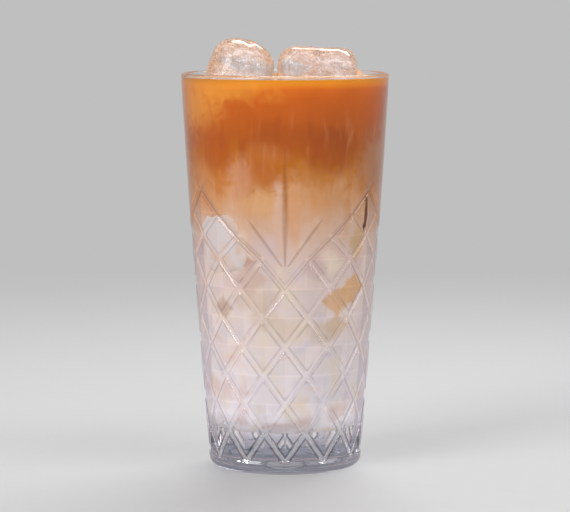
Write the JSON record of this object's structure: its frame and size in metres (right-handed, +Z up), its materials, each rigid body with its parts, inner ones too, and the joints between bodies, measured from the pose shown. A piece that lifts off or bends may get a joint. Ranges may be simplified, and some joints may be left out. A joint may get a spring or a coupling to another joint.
{
  "type": "iced coffee",
  "caption": "Iced milk coffee in a tall cut-glass tumbler: milk below, a blended band, coffee above, and ice cubes standing out at the rim.",
  "frame": {"origin": "centre of the foot, on the surface that the glass stands on", "axes": "+Z up along the axis of the glass; the fan of cuts in the front valley faces -Y, +X is to its right"},
  "size_m": [0.08, 0.08, 0.1655],
  "materials": {
    "glass": "clear, cut and polished",
    "coffee": "cloudy liquid",
    "blend": "cloudy liquid, streaked",
    "milk": "opaque liquid",
    "ice": "wet, clear at the edge and frosted at the heart"
  },
  "bodies": {
    "root": {"glass": "glass", "coffee": "coffee", "blend": "blend", "milk": "milk", "ice_left": "ice", "ice_right": "ice", "ice_back": "ice"}
  },
  "joints": []
}
